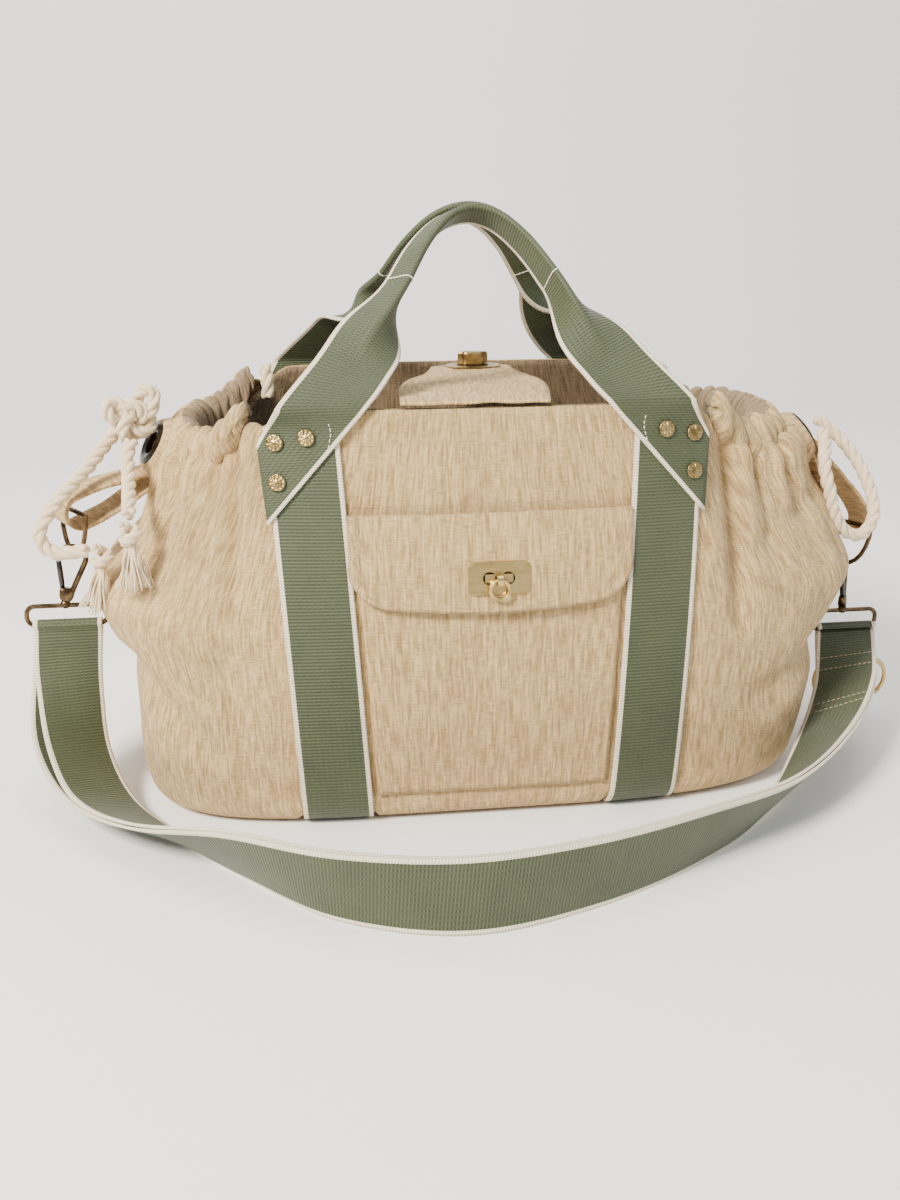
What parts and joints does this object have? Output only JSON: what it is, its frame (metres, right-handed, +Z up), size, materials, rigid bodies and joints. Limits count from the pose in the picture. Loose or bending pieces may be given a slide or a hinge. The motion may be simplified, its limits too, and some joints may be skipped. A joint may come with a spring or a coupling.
{
  "type": "duffel bag",
  "caption": "Soft linen duffel bag with a flat base, webbing bands and carrying handles, a flap pocket with a clasp, a top tab with a turn lock, rope-gathered ends and a strap on snap hooks.",
  "frame": {"origin": "middle of the flat base, at the level the bag rests on", "axes": "+X along the bag to the end with the long rope loop, -Y to the pocket side, +Z up"},
  "size_m": [0.5588, 0.3495, 0.3404],
  "materials": {
    "antique_brass": "antiqued",
    "bronze": "antiqued dark",
    "brushed_brass": "brushed",
    "casing": "gathered cotton",
    "gunmetal": "polished dark",
    "linen": "slubbed linen weave",
    "lining": "dark plain weave",
    "rope": "three-strand twisted cotton",
    "webbing": "ribbed webbing with pale edges"
  },
  "bodies": {
    "bag": {"back_panel": "linen", "base_panel": "linen", "casing_left": "casing", "casing_right": "casing", "clasp_post": "brushed_brass", "end_panel_left": "linen", "end_panel_right": "linen", "eyelet_left": "gunmetal", "eyelet_right": "gunmetal", "front_panel": "linen", "handle_foot_back_left": "webbing", "handle_foot_back_right": "webbing", "handle_foot_front_left": "webbing", "handle_foot_front_right": "webbing", "lining": "lining", "lock_anchor": "linen", "pocket_panel": "linen", "rivet_back_left_1": "antique_brass", "rivet_back_left_2": "antique_brass", "rivet_back_left_3": "antique_brass", "rivet_back_right_1": "antique_brass", "rivet_back_right_2": "antique_brass", "rivet_back_right_3": "antique_brass", "rivet_front_left_1": "antique_brass", "rivet_front_left_2": "antique_brass", "rivet_front_left_3": "antique_brass", "rivet_front_right_1": "antique_brass", "rivet_front_right_2": "antique_brass", "rivet_front_right_3": "antique_brass", "rope_bow_left": "rope", "rope_left_back": "rope", "rope_left_front": "rope", "rope_right": "rope", "rope_tail_left": "rope", "rope_tail_right": "rope", "shoulder_strap": "webbing", "side_tab_left": "linen", "side_tab_right": "linen", "strap_slider": "brushed_brass", "swivel_loop_left": "bronze", "swivel_loop_right": "bronze", "tassel_left_back": "rope", "tassel_left_front": "rope", "turnlock_base": "antique_brass", "webbing_left": "webbing", "webbing_right": "webbing"},
    "handle_front": {"handle_front": "webbing"},
    "handle_back": {"handle_back": "webbing"},
    "top_tab": {"top_tab": "linen", "turnlock_plate": "antique_brass"},
    "pocket_flap": {"pocket_flap": "linen", "clasp_plate": "brushed_brass"},
    "clasp_ring": {"clasp_ring": "brushed_brass"},
    "turn_knob": {"turn_knob": "antique_brass"},
    "d_ring_left": {"d_ring_left": "bronze"},
    "snap_hook_left": {"snap_hook_left": "bronze"},
    "hook_gate_left": {"hook_gate_left": "gunmetal"},
    "d_ring_right": {"d_ring_right": "bronze"},
    "snap_hook_right": {"snap_hook_right": "bronze"},
    "hook_gate_right": {"hook_gate_right": "gunmetal"}
  },
  "joints": [
    {"name": "handle_front_swing", "type": "hinge", "parent": "bag", "child": "handle_front", "pos_m": [0, -0.088, 0.2385], "axis": [1, 0, 0], "range_deg": [0, 140]},
    {"name": "handle_back_swing", "type": "hinge", "parent": "bag", "child": "handle_back", "pos_m": [0, 0.088, 0.2385], "axis": [-1, 0, 0], "range_deg": [0, 140]},
    {"name": "top_tab_lift", "type": "hinge", "parent": "bag", "child": "top_tab", "pos_m": [0, -0.085, 0.2391], "axis": [1, 0, 0], "range_deg": [0, 14]},
    {"name": "pocket_flap_lift", "type": "hinge", "parent": "bag", "child": "pocket_flap", "pos_m": [0, -0.1063, 0.181], "axis": [-1, 0, 0], "range_deg": [0, 110]},
    {"name": "clasp_ring_swing", "type": "hinge", "parent": "pocket_flap", "child": "clasp_ring", "pos_m": [0.002, -0.11745, 0.14688], "axis": [-1, 0, 0], "range_deg": [0, 100]},
    {"name": "turn_knob_turn", "type": "hinge", "parent": "bag", "child": "turn_knob", "pos_m": [0.014, 0.0695, 0.2364], "axis": [0, 0, 1], "range_deg": [0, 90]},
    {"name": "d_ring_left_swing", "type": "hinge", "parent": "bag", "child": "d_ring_left", "pos_m": [-0.23494, -0.02908, 0.17122], "axis": [0.5446, -0.8387, 0], "range_deg": [-3, 1]},
    {"name": "snap_hook_left_swivel", "type": "hinge", "parent": "bag", "child": "snap_hook_left", "pos_m": [-0.244, -0.03, 0.1165], "axis": [0.225, 0, 0.9744], "range_deg": [-8, 8]},
    {"name": "hook_gate_left_open", "type": "hinge", "parent": "snap_hook_left", "child": "hook_gate_left", "pos_m": [-0.24517, -0.03, 0.12477], "axis": [0, 1, 0], "range_deg": [0, 25], "stiffness_Nm_per_rad": 0.005, "springref_deg": -11.46},
    {"name": "d_ring_right_swing", "type": "hinge", "parent": "bag", "child": "d_ring_right", "pos_m": [0.25006, -0.0109, 0.14119], "axis": [0.515, -0.8572, 0], "range_deg": [-2, 2]},
    {"name": "snap_hook_right_swivel", "type": "hinge", "parent": "bag", "child": "snap_hook_right", "pos_m": [0.25, -0.012, 0.0845], "axis": [-0.0523, 0, 0.9986], "range_deg": [-8, 8]},
    {"name": "hook_gate_right_open", "type": "hinge", "parent": "snap_hook_right", "child": "hook_gate_right", "pos_m": [0.248, -0.01454, 0.09221], "axis": [-0.8469, 0.5299, -0.0444], "range_deg": [0, 25], "stiffness_Nm_per_rad": 0.005, "springref_deg": -11.46}
  ]
}
